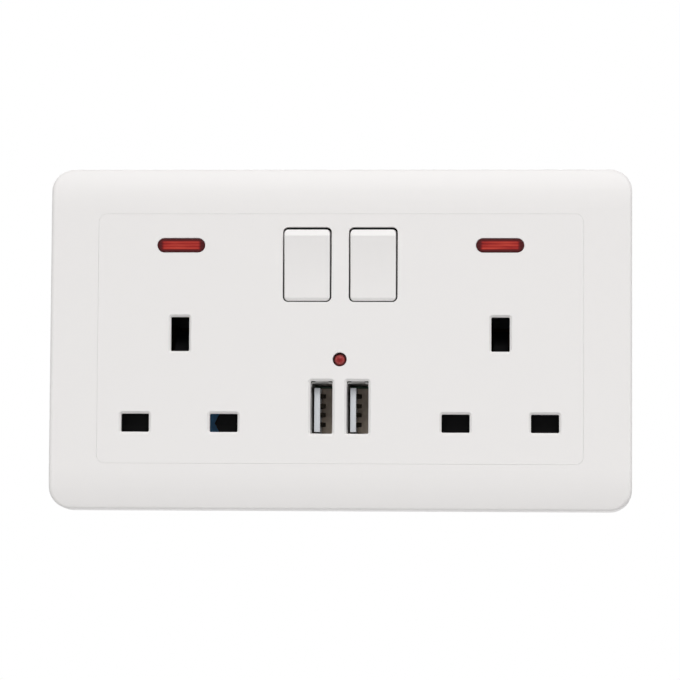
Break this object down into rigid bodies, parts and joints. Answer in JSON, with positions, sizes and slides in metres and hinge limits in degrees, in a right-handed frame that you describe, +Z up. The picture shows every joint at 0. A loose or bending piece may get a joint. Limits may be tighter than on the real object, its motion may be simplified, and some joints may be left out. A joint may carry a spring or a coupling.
{
  "type": "usb wall socket",
  "caption": "Twin switched wall socket for flat three-pin plugs, with USB-A charging ports, neon indicators and a clip-on white front plate.",
  "frame": {"origin": "middle of the line between the two fixing holes, on the wall plane", "axes": "+X to the right seen from the front, +Y into the wall, +Z up"},
  "size_m": [0.1456, 0.0323, 0.0856],
  "materials": {
    "white_plastic": "moulded urea, smooth",
    "black_plastic": "moulded, fine texture",
    "blue_plastic": "moulded",
    "red_lens": "clear red moulding",
    "lamp_glass": "clear glass",
    "zinc_steel": "zinc plated",
    "spring_steel": "bright wire",
    "contact_brass": "pressed strip",
    "contact_plated": "plated contact strip",
    "port_steel": "nickel plated",
    "port_grey": "moulded",
    "board_green": "solder mask",
    "ferrite": "sintered",
    "winding_tape": "polyester tape",
    "capacitor_can": "sleeved can",
    "chip_black": "moulded epoxy",
    "red_light": "tinted epoxy",
    "resistor_body": "lacquered",
    "lead_sleeve": "insulated wire"
  },
  "bodies": {
    "base": {"base_front": "black_plastic", "base_skirt": "black_plastic", "deck_wells": "black_plastic", "shutter_rails": "black_plastic", "rear_case": "black_plastic", "case_back": "black_plastic", "case_posts": "black_plastic", "mounting_strap": "zinc_steel", "case_screws": "zinc_steel", "cover_clips": "spring_steel", "line_bar": "contact_brass", "neutral_bar": "contact_brass", "earth_bar": "contact_brass", "line_terminal": "contact_brass", "neutral_terminal": "contact_brass", "earth_terminal_left": "contact_brass", "earth_terminal_right": "contact_brass", "terminal_screws": "contact_brass", "usb_board": "board_green", "transformer_core": "ferrite", "transformer_winding": "winding_tape", "filter_capacitors": "capacitor_can", "control_chip": "chip_black", "indicator_led": "red_light", "neon_resistors": "resistor_body", "supply_leads": "lead_sleeve", "neon_lamp_left": "lamp_glass", "switch_support_left": "contact_brass", "shutter_spring_left": "spring_steel", "line_contact_left": "contact_brass", "neutral_contact_left": "contact_brass", "earth_contact_left": "contact_brass", "usb_shell_left": "port_steel", "usb_tongue_left": "port_grey", "usb_contacts_left": "contact_plated", "neon_lamp_right": "lamp_glass", "switch_support_right": "contact_brass", "shutter_spring_right": "spring_steel", "line_contact_right": "contact_brass", "neutral_contact_right": "contact_brass", "earth_contact_right": "contact_brass", "usb_shell_right": "port_steel", "usb_tongue_right": "port_grey", "usb_contacts_right": "contact_plated"},
    "cover": {"front_frame": "white_plastic", "inner_panel": "white_plastic", "neon_lens_left": "red_lens", "neon_lens_right": "red_lens"},
    "rocker_left": {"rocker_left": "white_plastic", "plunger_left": "port_grey", "plunger_spring_left": "spring_steel"},
    "contact_left": {"moving_contact_left": "contact_plated"},
    "shutter_left": {"shutter_left": "black_plastic", "shutter_slide_left": "blue_plastic"},
    "rocker_right": {"rocker_right": "white_plastic", "plunger_right": "port_grey", "plunger_spring_right": "spring_steel"},
    "contact_right": {"moving_contact_right": "contact_plated"},
    "shutter_right": {"shutter_right": "black_plastic", "shutter_slide_right": "blue_plastic"}
  },
  "joints": [
    {"name": "cover_pull", "type": "slide", "parent": "base", "child": "cover", "axis": [0, -1, 0], "range_m": [0, 0.014]},
    {"name": "rocker_left_tip", "type": "hinge", "parent": "base", "child": "rocker_left", "pos_m": [-0.00825, -0.0066, 0.01853], "axis": [1, 0, 0], "range_deg": [-12, 0]},
    {"name": "contact_left_tip", "type": "hinge", "parent": "base", "child": "contact_left", "pos_m": [-0.00825, 0.00325, 0.01853], "axis": [1, 0, 0], "range_deg": [0, 21]},
    {"name": "shutter_left_slide", "type": "slide", "parent": "base", "child": "shutter_left", "axis": [0, 0, -1], "range_m": [0, 0.0054], "stiffness_N_per_m": 120, "springref_m": -0.003, "deforming": ["shutter_spring_left"]},
    {"name": "rocker_right_tip", "type": "hinge", "parent": "base", "child": "rocker_right", "pos_m": [0.00825, -0.0066, 0.01853], "axis": [1, 0, 0], "range_deg": [-12, 0]},
    {"name": "contact_right_tip", "type": "hinge", "parent": "base", "child": "contact_right", "pos_m": [0.00825, 0.00325, 0.01853], "axis": [1, 0, 0], "range_deg": [0, 21]},
    {"name": "shutter_right_slide", "type": "slide", "parent": "base", "child": "shutter_right", "axis": [0, 0, -1], "range_m": [0, 0.0054], "stiffness_N_per_m": 120, "springref_m": -0.003, "deforming": ["shutter_spring_right"]}
  ],
  "couplings": [
    {"joint": "contact_left_tip", "follows": "rocker_left_tip", "ratio": -1.75},
    {"joint": "contact_right_tip", "follows": "rocker_right_tip", "ratio": -1.75}
  ]
}
